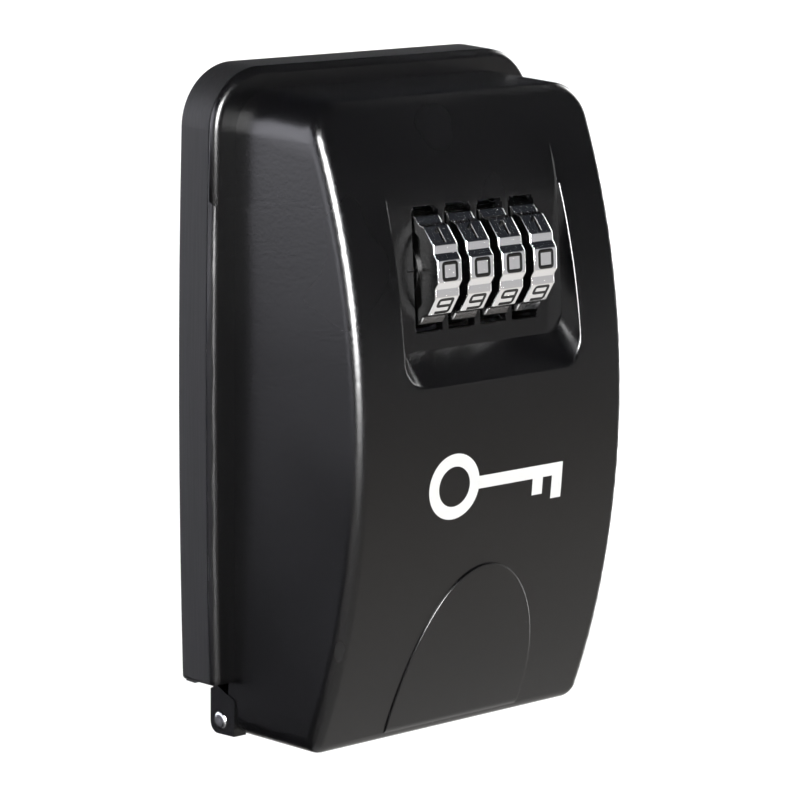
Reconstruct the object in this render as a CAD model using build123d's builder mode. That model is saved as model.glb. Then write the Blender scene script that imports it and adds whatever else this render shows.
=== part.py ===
"""Wall-mounted key lock box with four number dials and a drop-down front cover.

Millimetres. X runs to the right as seen from the front, -Y is the front and Z is up. The origin
is the middle of the housing's back face, which lies on the wall.
"""
from math import atan, cos, hypot, radians, sin, sqrt, tan
import os

from build123d import *

os.makedirs("parts", exist_ok=True)

# Rear housing
HALF_WIDTH = 37.4  # at the corners; the sides bow out from here
SIDE_BOW = 0.9
HALF_HEIGHT = 55.0
CORNER_R = 11.0
FOOT_R = 1.0
HOUSING_DEPTH = 7.2
HOUSING_DRAFT = 2.0
BACK_WALL = 2.4
RIM_WALL = 3.2
SEAL_DEPTH = 1.0
SEAL_STANDS = 0.2
WALL_HOLE_R = 2.4
WALL_HOLES_X, WALL_HOLES_Z = 46.0, 78.0

# Cover: a flange on the housing's rim, and a body inside it that bulges forward
FLANGE_BACK = HOUSING_DEPTH + 0.3
FLANGE_T = 1.55
FLANGE_INSET = 0.25
BEAD_R = 1.45
BODY_HALF_WIDTH = 33.0
BODY_TOP, BODY_FOOT = 50.9, -64.4
BODY_TOP_R, BODY_FOOT_R = 7.5, 4.0
BODY_DRAFT = 1.8
FRONT_EDGE_R = 2.6
COVER_WALL = 2.0
PEAK_DEPTH, PEAK_Z = 41.0, -7.5  # the bulge's furthest line
UPPER_R, LOWER_R = 131.8, 140.0
ARCH_HALF_WIDTH, ARCH_HEIGHT, ARCH_FOOT, ARCH_RISE = 16.0, 28.0, -60.0, 0.35

# Hinge at the foot
HINGE_Y, HINGE_Z = -5.6, -62.0
PIN_R = 1.7
PIN_CLEARANCE = 0.06
BARREL_R, BARREL_HALF = 3.0, 30.0
EAR_IN, EAR_OUT = 30.6, 33.3

# Dials and the panel they stand in
DIAL_COUNT, DIAL_PITCH, DIAL_WIDTH = 4, 7.55, 5.6
DIAL_R = 10.9  # to the corners of the ten-sided shape, before its notches are cut
NOTCH = 1.45  # length of a notch's two walls, each parallel to the facet beyond it
DIAL_Y, DIAL_Z = -30.44, 20.65
TILT = 4.5  # the panel and the number in view face this far up
DIAL_X = [DIAL_PITCH * (n - (DIAL_COUNT - 1) / 2) for n in range(DIAL_COUNT)]
PANEL_Y = -34.87  # at the dials' height
PANEL_WALL = 1.7
PANEL_FOOT = 7.0
BLEND_Z = 42.0  # where the panel runs out into the face
RAMP_SLOPE = 1.155
RECESS_HALF, RECESS_CORNER_R = 20.4, 3.5
SLOT_WIDE, SLOT_WIDE_LONG, SLOT_WIDE_RISE = 6.1, 21.0, 0.1  # rise of its middle over the dials' axis
SLOT_NARROW, SLOT_LONG, SLOT_RISE = 5.3, 21.7, 0.4  # a slot's narrower ends

# Lock mechanism
SPINDLE_R = 1.2
RUN = 0.06  # radial clearance of a running fit
SLEEVE_R, NECK_R, FLAT_AT = 2.6, 1.8, 1.8
SHIFT = 1.7  # travel of the sleeves when the code is changed
BASE_BACK, BASE_T = 17.7, 1.2
CHEEK_IN, CHEEK_T = 17.1, 1.2
BOLT_BACK, BOLT_T = 15.8, 1.4
BOLT_FOOT, BOLT_TRAVEL = 22.65, 3.0
BLADE_T, BLADE_TIP = 1.0, 28.49
PLATE_BACK, PLATE_T = 12.4, 1.2
CRANK_X = 23.5
PLATE_SCREWS = [(-25.5, 3.0), (25.5, 3.0), (-25.5, 39.0), (25.5, 39.0)]
FRAME_SCREWS = [(-20.2, 9.0), (20.2, 9.0), (-20.2, 32.0), (20.2, 32.0)]
SPRING_X = [-4.0, 11.6]
SPRING_FOOT, SPRING_Y = 10.45, -16.0


def face_y(z, inset=0.0):
    """Y of the bulging front at height z, or of the surface that lies inset behind it."""
    radius = UPPER_R if z > PEAK_Z else LOWER_R
    return radius - PEAK_DEPTH - sqrt((radius - inset) ** 2 - (z - PEAK_Z) ** 2)


def panel_y(z, inset=0.0):
    """Y of the flat dial panel at height z."""
    return PANEL_Y + inset + (z - DIAL_Z) * tan(radians(TILT))


def housing_outline(inset):
    """Front view of the housing: bowed sides and round top corners."""
    with BuildSketch(mode=Mode.PRIVATE) as outline:
        with BuildLine():
            ThreePointArc((HALF_WIDTH, -HALF_HEIGHT), (HALF_WIDTH + SIDE_BOW, 0), (HALF_WIDTH, HALF_HEIGHT))
            Line((HALF_WIDTH, HALF_HEIGHT), (-HALF_WIDTH, HALF_HEIGHT))
            ThreePointArc((-HALF_WIDTH, HALF_HEIGHT), (-HALF_WIDTH - SIDE_BOW, 0), (-HALF_WIDTH, -HALF_HEIGHT))
            Line((-HALF_WIDTH, -HALF_HEIGHT), (HALF_WIDTH, -HALF_HEIGHT))
        make_face()
        fillet(vertices().group_by(Axis.Y)[-1], CORNER_R)
        fillet(vertices().group_by(Axis.Y)[0], FOOT_R)
        if inset:
            offset(amount=-inset)
    return outline.sketch


def ring(outer_inset, inner_inset):
    """The band between two insets of the housing's outline."""
    with BuildSketch(mode=Mode.PRIVATE) as band:
        add(housing_outline(outer_inset))
        add(housing_outline(inner_inset), mode=Mode.SUBTRACT)
    return band.sketch


def behind_front(inset, foot_r=0.0):
    """Side view of everything behind the bulging front; the foot's corner can be round."""
    low, high = BODY_FOOT + foot_r / 2, 60.0
    with BuildSketch(mode=Mode.PRIVATE) as profile:
        with BuildLine():
            peak = (face_y(PEAK_Z, inset), PEAK_Z)
            ThreePointArc((face_y(high, inset), high), (face_y(high / 2, inset), high / 2), peak)
            ThreePointArc(peak, (face_y(low / 2, inset), low / 2), (face_y(low, inset), low))
            Polyline((face_y(low, inset), low), (0, low), (0, high), (face_y(high, inset), high))
        make_face()
        if foot_r:
            fillet(vertices().group_by(Axis.Y)[0].sort_by(Axis.X)[0], foot_r)
    return profile.sketch


def cover_block(inset):
    """The cover's body as a solid block: drafted walls, round corners and a bulging front."""
    with BuildPart(mode=Mode.PRIVATE) as block:
        with BuildSketch(Plane.XZ.offset(FLANGE_BACK)):
            with Locations((0, (BODY_TOP + BODY_FOOT) / 2)):
                Rectangle(2 * (BODY_HALF_WIDTH - inset), BODY_TOP - BODY_FOOT - 2 * inset)
            fillet(vertices().group_by(Axis.Y)[-1], BODY_TOP_R - inset)
            fillet(vertices().group_by(Axis.Y)[0], BODY_FOOT_R - inset)
        extrude(amount=PEAK_DEPTH, taper=BODY_DRAFT)
        with BuildSketch(Plane.YZ.offset(-HALF_WIDTH)):
            add(behind_front(inset))
        extrude(amount=2 * HALF_WIDTH, mode=Mode.INTERSECT)
        if not inset:
            bulge = block.faces().filter_by(GeomType.CYLINDER).filter_by(
                lambda face: abs(face.normal_at().X) < 0.01 and face.center().Y < -FLANGE_BACK - 15
            )
            fillet(bulge.edges().filter_by(lambda edge: abs(edge.center().Z - PEAK_Z) > 1), FRONT_EDGE_R)
    return block.part


def recess(grow):
    """The hollow over the dial panel, with a ramp at its foot; grow moves its walls outward."""
    with BuildPart(mode=Mode.PRIVATE) as hollow:
        for depth in (32.0, 46.0):
            beyond = depth + panel_y(PANEL_FOOT)
            half = RECESS_HALF + grow + 0.084 * beyond
            foot = PANEL_FOOT - grow - RAMP_SLOPE * beyond
            top = BLEND_Z + 5
            with BuildSketch(Plane.XZ.offset(depth)):
                with Locations((0, (top + foot) / 2)):
                    Rectangle(2 * half, top - foot)
                fillet(vertices().group_by(Axis.Y)[0], RECESS_CORNER_R + grow + 0.2 * beyond)
        loft()
        # the panel's line, rounded into the front's tangent where the recess runs out
        slope = (BLEND_Z - PEAK_Z) / sqrt(UPPER_R**2 - (BLEND_Z - PEAK_Z) ** 2)
        lean = tan(radians(TILT))
        meet = (PANEL_Y - lean * DIAL_Z - face_y(BLEND_Z) + slope * BLEND_Z) / (slope - lean)
        run = hypot(BLEND_Z - meet, face_y(BLEND_Z) - panel_y(meet))
        blend_r = run / tan((atan(slope) - atan(lean)) / 2)
        top, foot = BLEND_Z + 5, -8.0
        with BuildSketch(Plane.YZ.offset(-HALF_WIDTH)):
            with BuildLine():
                back = [(panel_y(foot, grow), foot), (panel_y(meet, grow), meet)]
                FilletPolyline(*back, (face_y(BLEND_Z) + grow + slope * (top - BLEND_Z), top), radius=blend_r)
                front = -PEAK_DEPTH - 10
                Polyline(
                    (face_y(BLEND_Z) + grow + slope * (top - BLEND_Z), top),
                    (front, top),
                    (front, foot),
                    back[0],
                )
            make_face()
        extrude(amount=2 * HALF_WIDTH, mode=Mode.INTERSECT)
    return hollow.part


def cross(span):
    """The cross of a screwdriver recess."""
    with BuildSketch(mode=Mode.PRIVATE) as arms:
        Rectangle(span, span / 4)
        Rectangle(span / 4, span)
    return arms.sketch


# Rear housing: a cast tray that is screwed to the wall, with the hinge barrel under its foot
with BuildPart() as rear_housing:
    with BuildSketch(Plane.XZ):
        add(housing_outline(0))
    extrude(amount=HOUSING_DEPTH, taper=HOUSING_DRAFT)
    with BuildSketch(Plane.XZ.offset(BACK_WALL)):
        add(housing_outline(RIM_WALL))
    extrude(amount=HOUSING_DEPTH, mode=Mode.SUBTRACT)
    with BuildSketch(Plane.XZ.offset(HOUSING_DEPTH - SEAL_DEPTH)):
        add(ring(1.1, 2.3))
    extrude(amount=SEAL_DEPTH, mode=Mode.SUBTRACT)
    # hinge barrel and the web that carries it
    with BuildSketch(Plane.YZ.offset(-BARREL_HALF)):
        with Locations((HINGE_Y, HINGE_Z)):
            Circle(BARREL_R)
        with Locations((HINGE_Y + BARREL_R, HINGE_Z)):
            Rectangle(4.6, 7.8, align=(Align.MAX, Align.MIN))
    extrude(amount=2 * BARREL_HALF)
    with BuildSketch(Plane.YZ.offset(-BARREL_HALF)):
        with Locations((HINGE_Y, HINGE_Z)):
            Circle(PIN_R + PIN_CLEARANCE)
    extrude(amount=2 * BARREL_HALF, mode=Mode.SUBTRACT)
    # small foot along the back edge
    with BuildSketch(Plane.XZ):
        with Locations((0, -HALF_HEIGHT)):
            Rectangle(2 * HALF_WIDTH - 1.5, 0.5)
    extrude(amount=2.5)
    # screw holes to the wall
    with Locations(Plane.XZ.offset(BACK_WALL)):
        with GridLocations(WALL_HOLES_X, WALL_HOLES_Z, 2, 2):
            Hole(WALL_HOLE_R, depth=BACK_WALL)
    # blind holes for the strike's rivets and the hook's screws
    with BuildSketch(Plane.XY.offset(HALF_HEIGHT - RIM_WALL)):
        with Locations((-8, -4), (8, -4)):
            Circle(1.05)
    extrude(amount=2.0, mode=Mode.SUBTRACT)
    with BuildSketch(Plane.XZ.offset(BACK_WALL)):
        with Locations((-6, 34), (6, 34)):
            Circle(1.05)
    extrude(amount=-1.6, mode=Mode.SUBTRACT)
rear_housing.part.label = "rear_housing"
export_step(rear_housing.part, "parts/rear_housing.step")

# Rubber seal in the rim's groove
with BuildPart() as rim_seal:
    with BuildSketch(Plane.XZ.offset(HOUSING_DEPTH - SEAL_DEPTH)):
        add(ring(1.15, 2.25))
    extrude(amount=SEAL_DEPTH + SEAL_STANDS)
rim_seal.part.label = "rim_seal"
export_step(rim_seal.part, "parts/rim_seal.step")

# Strike: a steel angle under the housing's top edge, whose lip holds the bolt's nose
STRIKE_TOP, STRIKE_T, LIP_FOOT = HALF_HEIGHT - RIM_WALL, 1.0, 47.6
with BuildPart() as strike_plate:
    with BuildSketch(Plane.YZ.offset(-10)):
        with BuildLine():
            Polyline(
                (-BACK_WALL - 0.1, STRIKE_TOP),
                (-6.9, STRIKE_TOP),
                (-6.9, LIP_FOOT),
                (-5.7, LIP_FOOT),
                (-5.7, STRIKE_TOP - STRIKE_T),
                (-BACK_WALL - 0.1, STRIKE_TOP - STRIKE_T),
                (-BACK_WALL - 0.1, STRIKE_TOP),
            )
        make_face()
    extrude(amount=20)
    with BuildSketch(Plane.XY.offset(STRIKE_TOP - STRIKE_T)):
        with Locations((-8, -4), (8, -4)):
            Circle(1.05)
    extrude(amount=STRIKE_T, mode=Mode.SUBTRACT)
strike_plate.part.label = "strike_plate"
export_step(strike_plate.part, "parts/strike_plate.step")

with BuildPart() as strike_rivets:
    with BuildSketch(Plane.XY.offset(STRIKE_TOP - STRIKE_T)):
        with Locations((-8, -4), (8, -4)):
            Circle(1.0)
    extrude(amount=STRIKE_T + 1.8)
    with BuildSketch(Plane.XY.offset(STRIKE_TOP - STRIKE_T)):
        with Locations((-8, -4), (8, -4)):
            Circle(1.6)
    extrude(amount=-0.8)
    fillet(strike_rivets.edges().group_by(Axis.Z)[0], 0.5)
strike_rivets.part.label = "strike_rivets"
export_step(strike_rivets.part, "parts/strike_rivets.step")

# Key hook: a bent rod on an oval foot
with BuildPart() as key_hook:
    with BuildSketch(Plane.XZ.offset(BACK_WALL)):
        with Locations((0, 34)):
            SlotOverall(18, 6)
        with Locations((-6, 34), (6, 34)):
            Circle(1.1, mode=Mode.SUBTRACT)
    extrude(amount=1.0)
    with BuildLine() as rod:
        FilletPolyline((0, -BACK_WALL - 0.5, 34), (0, -9.0, 34), (0, -10.2, 39), radius=1.8)
    with BuildSketch(Plane.XZ.offset(BACK_WALL + 0.5)):
        with Locations((0, 34)):
            Circle(1.1)
    sweep(path=rod.line)
key_hook.part.label = "key_hook"
export_step(key_hook.part, "parts/key_hook.step")

with BuildPart() as hook_screws:
    with BuildSketch(Plane.XZ.offset(BACK_WALL + 1.0)):
        with Locations((-6, 34), (6, 34)):
            Circle(1.0)
    extrude(amount=-2.4)
    with BuildSketch(Plane.XZ.offset(BACK_WALL + 1.0)):
        with Locations((-6, 34), (6, 34)):
            Circle(1.9)
    extrude(amount=1.0)
    fillet(hook_screws.edges().group_by(Axis.Y)[0], 0.6)
    with BuildSketch(Plane.XZ.offset(BACK_WALL + 2.0)):
        with Locations((-6, 34), (6, 34)):
            add(cross(2.0))
    extrude(amount=-0.6, mode=Mode.SUBTRACT)
hook_screws.part.label = "hook_screws"
export_step(hook_screws.part, "parts/hook_screws.step")

# Flange of the cover, with the bead round its outer edge
with BuildPart() as flange:
    with BuildSketch(Plane.XZ.offset(FLANGE_BACK)):
        add(housing_outline(FLANGE_INSET))
    extrude(amount=FLANGE_T)
    fillet(flange.edges().group_by(Axis.Y)[0].filter_by(lambda e: e.center().Z > -HALF_HEIGHT + 1), BEAD_R)

# The arch that stands a little proud of the lower front
with BuildPart() as arch:
    with BuildSketch(Plane.XZ.offset(FLANGE_BACK + 15)):
        with Locations((0, ARCH_FOOT)):
            Ellipse(ARCH_HALF_WIDTH, ARCH_HEIGHT)
    extrude(amount=PEAK_DEPTH)
    with BuildSketch(Plane.YZ.offset(-HALF_WIDTH)):
        add(behind_front(-ARCH_RISE, FRONT_EDGE_R + ARCH_RISE))
    extrude(amount=2 * HALF_WIDTH, mode=Mode.INTERSECT)

# Front cover: flange, hollow body, recess with four slots, hinge ears and screw posts
with BuildPart() as front_cover:
    add(cover_block(0))
    add(flange.part)
    add(arch.part)
    add(recess(0), mode=Mode.SUBTRACT)
    with BuildPart(mode=Mode.PRIVATE) as cavity:
        add(cover_block(COVER_WALL))
        add(recess(PANEL_WALL), mode=Mode.SUBTRACT)
    add(cavity.part, mode=Mode.SUBTRACT)
    # clear the hinge barrel at the foot
    with BuildSketch(Plane.XY.offset(BODY_FOOT - 2)):
        with Locations((0, HINGE_Y - BARREL_R - 0.7)):
            Rectangle(2 * BARREL_HALF + 0.8, 10, align=(Align.CENTER, Align.MIN))
    extrude(amount=12, mode=Mode.SUBTRACT)
    # hinge ears
    for side in (-1, 1):
        with BuildSketch(Plane.YZ.offset(side * (EAR_IN + EAR_OUT) / 2)):
            with BuildLine():
                Polyline(
                    (-2.75, -64.75), (-2.75, -56.7), (-4.4, -55.7), (-9.5, -57.7), (-9.5, -64.3), (-2.75, -64.75)
                )
            make_face()
            fillet(vertices().sort_by(Axis.Y)[0], 2.0)
        extrude(amount=(EAR_OUT - EAR_IN) / 2, both=True)
    with BuildSketch(Plane.YZ.offset(-HALF_WIDTH)):
        with Locations((HINGE_Y, HINGE_Z)):
            Circle(PIN_R)
    extrude(amount=2 * HALF_WIDTH, mode=Mode.SUBTRACT)
    # slots for the dials
    with BuildSketch(Plane.XZ.offset(PEAK_DEPTH - 10)):
        with Locations(*[(x, DIAL_Z + SLOT_RISE) for x in DIAL_X]):
            Rectangle(SLOT_NARROW, SLOT_LONG)
        with Locations(*[(x, DIAL_Z + SLOT_WIDE_RISE) for x in DIAL_X]):
            Rectangle(SLOT_WIDE, SLOT_WIDE_LONG)
    extrude(amount=8, mode=Mode.SUBTRACT)
    # index tick beside the first dial
    with BuildSketch(Plane.XZ.offset(-PANEL_Y - 0.8)):
        with Locations((DIAL_X[0] - 4.05, DIAL_Z + 0.5)):
            Rectangle(1.7, 0.5)
    extrude(amount=1.25)
    # posts for the inner plate and for the mechanism frame, with their pilot holes
    for (x, z), depth in zip(PLATE_SCREWS, (39.2, 39.2, 31.6, 31.6)):
        with BuildSketch(Plane.XZ.offset(PLATE_BACK + PLATE_T)):
            with Locations((x, z)):
                Circle(2.6)
        extrude(amount=depth - PLATE_BACK - PLATE_T)
        with BuildSketch(Plane.XZ.offset(PLATE_BACK + PLATE_T)):
            with Locations((x, z)):
                Circle(1.25)
        extrude(amount=8, mode=Mode.SUBTRACT)
    for (x, z), depth in zip(FRAME_SCREWS, (34.8, 34.8, 33.0, 33.0)):
        with BuildSketch(Plane.XZ.offset(BASE_BACK + BASE_T)):
            with Locations((x, z)):
                Circle(2.0)
        extrude(amount=depth - BASE_BACK - BASE_T)
        with BuildSketch(Plane.XZ.offset(BASE_BACK + BASE_T)):
            with Locations((x, z)):
                Circle(1.05)
        extrude(amount=6, mode=Mode.SUBTRACT)
front_cover.part.label = "front_cover"
export_step(front_cover.part, "parts/front_cover.step")

# Hinge pin, tight in the ears and free in the barrel
with BuildPart() as hinge_pin:
    with BuildSketch(Plane.YZ.offset(-EAR_OUT - 0.35)):
        with Locations((HINGE_Y, HINGE_Z)):
            Circle(PIN_R)
    extrude(amount=2 * (EAR_OUT + 0.35))
    fillet(hinge_pin.edges().filter_by(GeomType.CIRCLE), 0.7)
hinge_pin.part.label = "hinge_pin"
export_step(hinge_pin.part, "parts/hinge_pin.step")

# Mechanism frame: base plate, two cheeks that carry the spindle, spring shelf and guide pin
with BuildPart() as mechanism_frame:
    with BuildSketch(Plane.XZ.offset(BASE_BACK)):
        with Locations((0, 20.7)):
            RectangleRounded(44.8, 28.6, 2)
        with Locations((CRANK_X, DIAL_Z)):
            Rectangle(7.4, 10)
        with Locations(*FRAME_SCREWS):
            Circle(1.1, mode=Mode.SUBTRACT)
        with Locations((CRANK_X, DIAL_Z)):
            Circle(1.25 + RUN, mode=Mode.SUBTRACT)
        with Locations(*[(x + 3.8, BOLT_FOOT) for x in DIAL_X]):
            Rectangle(BLADE_T + 0.6, 7.4, mode=Mode.SUBTRACT)
    extrude(amount=BASE_T)
    for x in (-CHEEK_IN - CHEEK_T, CHEEK_IN):
        with BuildSketch(Plane.YZ.offset(x)):
            with Locations((-BASE_BACK, DIAL_Z)):
                Rectangle(-DIAL_Y - BASE_BACK, 11, align=(Align.MAX, Align.CENTER))
            with Locations((DIAL_Y, DIAL_Z)):
                Circle(2.5)
                Circle(SPINDLE_R + RUN, mode=Mode.SUBTRACT)
        extrude(amount=CHEEK_T)
    with BuildSketch(Plane.XY.offset(SPRING_FOOT - 1.2)):
        with Locations((sum(SPRING_X) / 2, -BASE_BACK - BASE_T)):
            Rectangle(22, 4.6, align=(Align.CENTER, Align.MIN))
    extrude(amount=1.2)
    with BuildSketch(Plane.XZ.offset(14.2)):
        with Locations((3.8, 31.0)):
            Circle(1.5)
    extrude(amount=BASE_BACK + BASE_T - 14.2)
mechanism_frame.part.label = "mechanism_frame"
export_step(mechanism_frame.part, "parts/mechanism_frame.step")

with BuildPart() as frame_screws:
    with BuildSketch(Plane.XZ.offset(BASE_BACK)):
        with Locations(*FRAME_SCREWS):
            Circle(1.0)
    extrude(amount=6)
    with BuildSketch(Plane.XZ.offset(BASE_BACK)):
        with Locations(*FRAME_SCREWS):
            Circle(1.9)
    extrude(amount=-1.1)
    fillet(frame_screws.edges().group_by(Axis.Y)[-1], 0.5)
    with BuildSketch(Plane.XZ.offset(BASE_BACK - 1.1)):
        with Locations(*FRAME_SCREWS):
            add(cross(2.0))
    extrude(amount=0.7, mode=Mode.SUBTRACT)
frame_screws.part.label = "frame_screws"
export_step(frame_screws.part, "parts/frame_screws.step")

# Detent comb: a leaf spring whose four fingers lie under the dials
COMB_TOP, COMB_T = 8.5, 0.3
with BuildPart() as detent_spring:
    with BuildSketch(Plane.XY.offset(COMB_TOP - COMB_T)):
        with Locations((0, -BASE_BACK - BASE_T)):
            Rectangle(30.8, 3.4, align=(Align.CENTER, Align.MAX))
        with Locations(*[(x, -BASE_BACK - BASE_T) for x in DIAL_X]):
            Rectangle(3.0, 12.6, align=(Align.CENTER, Align.MAX))
    extrude(amount=COMB_T)
    with BuildSketch(Plane.XZ.offset(BASE_BACK + BASE_T)):
        with Locations((0, COMB_TOP - COMB_T)):
            Rectangle(30.8, 5.5, align=(Align.CENTER, Align.MIN))
    extrude(amount=COMB_T)
    for x in DIAL_X:
        with BuildSketch(Plane.YZ.offset(x - 1.5)):
            with BuildLine():
                Polyline(
                    (DIAL_Y - 1.0, COMB_TOP - 0.1), (DIAL_Y, COMB_TOP + 1.3), (DIAL_Y + 1.0, COMB_TOP - 0.1),
                    (DIAL_Y - 1.0, COMB_TOP - 0.1),
                )
            make_face()
        extrude(amount=3.0)
detent_spring.part.label = "detent_spring"
export_step(detent_spring.part, "parts/detent_spring.step")

# Inner plate: closes the mechanism off from the keys, with a notch for the bolt's arm
with BuildPart() as inner_plate:
    with BuildSketch(Plane.XZ.offset(PLATE_BACK)):
        with Locations((0, 21.1)):
            RectangleRounded(57.6, 42, 3)
        with Locations((0, 42.1)):
            Rectangle(13, 6.8, mode=Mode.SUBTRACT)
        with Locations(*PLATE_SCREWS):
            Circle(1.35, mode=Mode.SUBTRACT)
        with Locations((CRANK_X, DIAL_Z)):
            Circle(1.25 + RUN, mode=Mode.SUBTRACT)
    extrude(amount=PLATE_T)
inner_plate.part.label = "inner_plate"
export_step(inner_plate.part, "parts/inner_plate.step")

with BuildPart() as plate_screws:
    with BuildSketch(Plane.XZ.offset(PLATE_BACK)):
        with Locations(*PLATE_SCREWS):
            Circle(1.2)
    extrude(amount=8)
    with BuildSketch(Plane.XZ.offset(PLATE_BACK)):
        with Locations(*PLATE_SCREWS):
            Circle(2.3)
    extrude(amount=-1.3)
    fillet(plate_screws.edges().group_by(Axis.Y)[-1], 0.7)
    with BuildSketch(Plane.XZ.offset(PLATE_BACK - 1.3)):
        with Locations(*PLATE_SCREWS):
            add(cross(2.6))
    extrude(amount=0.9, mode=Mode.SUBTRACT)
plate_screws.part.label = "plate_screws"
export_step(plate_screws.part, "parts/plate_screws.step")

# Number dials: ten facets with a finger notch between each two, splined inside on the sleeve
FACET = 36.0
CORNER_ANGLE = 180 - TILT + FACET / 2  # of one notch, seen from the right
FACE_R = DIAL_R * cos(radians(FACET / 2))
NOTCH_R = (FACE_R - NOTCH * sin(radians(FACET))) / cos(radians(FACET / 2))  # to a notch's bottom
NOTCH_SPREAD = 1 / tan(radians(FACET / 2))
for number, x in enumerate(DIAL_X, start=1):
    left = x - DIAL_WIDTH / 2
    with BuildPart() as dial:
        with BuildSketch(Plane.YZ.offset(left)):
            with Locations((DIAL_Y, DIAL_Z)):
                RegularPolygon(DIAL_R, 10, rotation=CORNER_ANGLE)
                with PolarLocations(NOTCH_R, 10, start_angle=CORNER_ANGLE):
                    Polygon((0, 0), (1, -NOTCH_SPREAD), (1, NOTCH_SPREAD), mode=Mode.SUBTRACT)
        extrude(amount=DIAL_WIDTH)
        chamfer(dial.edges().group_by(Axis.X)[0] + dial.edges().group_by(Axis.X)[-1], 0.2)
        # plain bore on the right, ten splines in the middle, free space on the left
        with BuildSketch(Plane.YZ.offset(left)):
            with Locations((DIAL_Y, DIAL_Z)):
                Circle(SLEEVE_R + 0.1)
        extrude(amount=DIAL_WIDTH, mode=Mode.SUBTRACT)
        with BuildSketch(Plane.YZ.offset(x - 0.5)):
            with Locations((DIAL_Y, DIAL_Z)):
                with PolarLocations(3.0, 10):
                    Rectangle(1.9, 1.1)
        extrude(amount=1.8, mode=Mode.SUBTRACT)
        with BuildSketch(Plane.YZ.offset(left)):
            with Locations((DIAL_Y, DIAL_Z)):
                Circle(4.1)
        extrude(amount=DIAL_WIDTH / 2 - 0.5, mode=Mode.SUBTRACT)
        # dished sides
        for face_x, depth in ((left, 0.5), (left + DIAL_WIDTH, -0.5)):
            with BuildSketch(Plane.YZ.offset(face_x)):
                with Locations((DIAL_Y, DIAL_Z)):
                    Circle(8.2)
                    Circle(5.2, mode=Mode.SUBTRACT)
            extrude(amount=depth, mode=Mode.SUBTRACT)
    dial.part.label = f"dial_{number}"
    export_step(dial.part, f"parts/dial_{number}.step")

# Cam sleeves: each turns with its dial through one key, and its flat lets the bolt's blade pass
for number, x in enumerate(DIAL_X, start=1):
    with BuildPart() as sleeve:
        with BuildSketch(Plane.YZ.offset(x - 3.0)):
            with Locations((DIAL_Y, DIAL_Z)):
                Circle(NECK_R)
        extrude(amount=1.6)
        with BuildSketch(Plane.YZ.offset(x - 1.4)):
            with Locations((DIAL_Y, DIAL_Z)):
                Circle(SLEEVE_R)
        extrude(amount=5.9)
        with BuildSketch(Plane.YZ.offset(x - 0.4)):
            with Locations((DIAL_Y + 3.0, DIAL_Z)):
                Rectangle(1.6, 0.9)
        extrude(amount=1.5)
        with BuildSketch(Plane.YZ.offset(x + 2.95)):
            with Locations((DIAL_Y + FLAT_AT, DIAL_Z)):
                Rectangle(2, 6, align=(Align.MIN, Align.CENTER))
        extrude(amount=1.6, mode=Mode.SUBTRACT)
        with BuildSketch(Plane.YZ.offset(x - 3.0)):
            with Locations((DIAL_Y, DIAL_Z)):
                Circle(SPINDLE_R + RUN)
        extrude(amount=7.6, mode=Mode.SUBTRACT)
    sleeve.part.label = f"cam_sleeve_{number}"
    export_step(sleeve.part, f"parts/cam_sleeve_{number}.step")

# Spindle: carries the sleeves between two collars and ends in a yoke round the lever's crank
with BuildPart() as spindle:
    with BuildSketch(Plane.YZ.offset(-19.4)):
        with Locations((DIAL_Y, DIAL_Z)):
            Circle(SPINDLE_R)
    extrude(amount=19.4 + 20.6)
    for x in (-15.2, 15.9):
        with BuildSketch(Plane.YZ.offset(x)):
            with Locations((DIAL_Y, DIAL_Z)):
                Circle(NECK_R)
        extrude(amount=0.8)
    with BuildSketch(Plane.XZ.offset(-DIAL_Y - 1.2)):
        with Locations((CRANK_X - 0.15, DIAL_Z + SHIFT / 2)):
            Rectangle(5.8, 8.3)
            Rectangle(3.8, 6.3, mode=Mode.SUBTRACT)
    extrude(amount=2.4)
spindle.part.label = "spindle"
export_step(spindle.part, "parts/spindle.step")

# Latch bolt: a sliding plate with four blades, and an arm whose nose hooks behind the strike
with BuildPart() as latch_bolt:
    with BuildSketch(Plane.XZ.offset(BOLT_BACK)):
        with Locations((3.8, BOLT_FOOT)):
            Rectangle(26, 18.6, align=(Align.CENTER, Align.MIN))
        with Locations((0, 40)):
            Rectangle(9, 6, align=(Align.CENTER, Align.MIN))
        with Locations((3.8, 31.0 + BOLT_TRAVEL / 2)):
            SlotOverall(3.2 + BOLT_TRAVEL + 0.4, 3.2, rotation=90, mode=Mode.SUBTRACT)
    extrude(amount=BOLT_T)
    with BuildSketch(Plane.XZ.offset(BOLT_BACK)):
        with Locations(*[(x + 3.8, BOLT_FOOT) for x in DIAL_X]):
            Rectangle(BLADE_T, 3.0, align=(Align.CENTER, Align.MIN))
    extrude(amount=BLADE_TIP - BOLT_BACK)
    with BuildSketch(Plane.YZ.offset(-4.5)):
        with BuildLine():
            Polyline(
                (-BOLT_BACK - BOLT_T, 43.0),
                (-3.2, 43.0),
                (-3.2, 49.3),
                (-4.0, 50.4),
                (-4.6, 50.4),
                (-5.4, 49.3),
                (-5.4, 46.0),
                (-BOLT_BACK - BOLT_T, 46.0),
                (-BOLT_BACK - BOLT_T, 43.0),
            )
        make_face()
    extrude(amount=9)
latch_bolt.part.label = "latch_bolt"
export_step(latch_bolt.part, "parts/latch_bolt.step")

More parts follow.
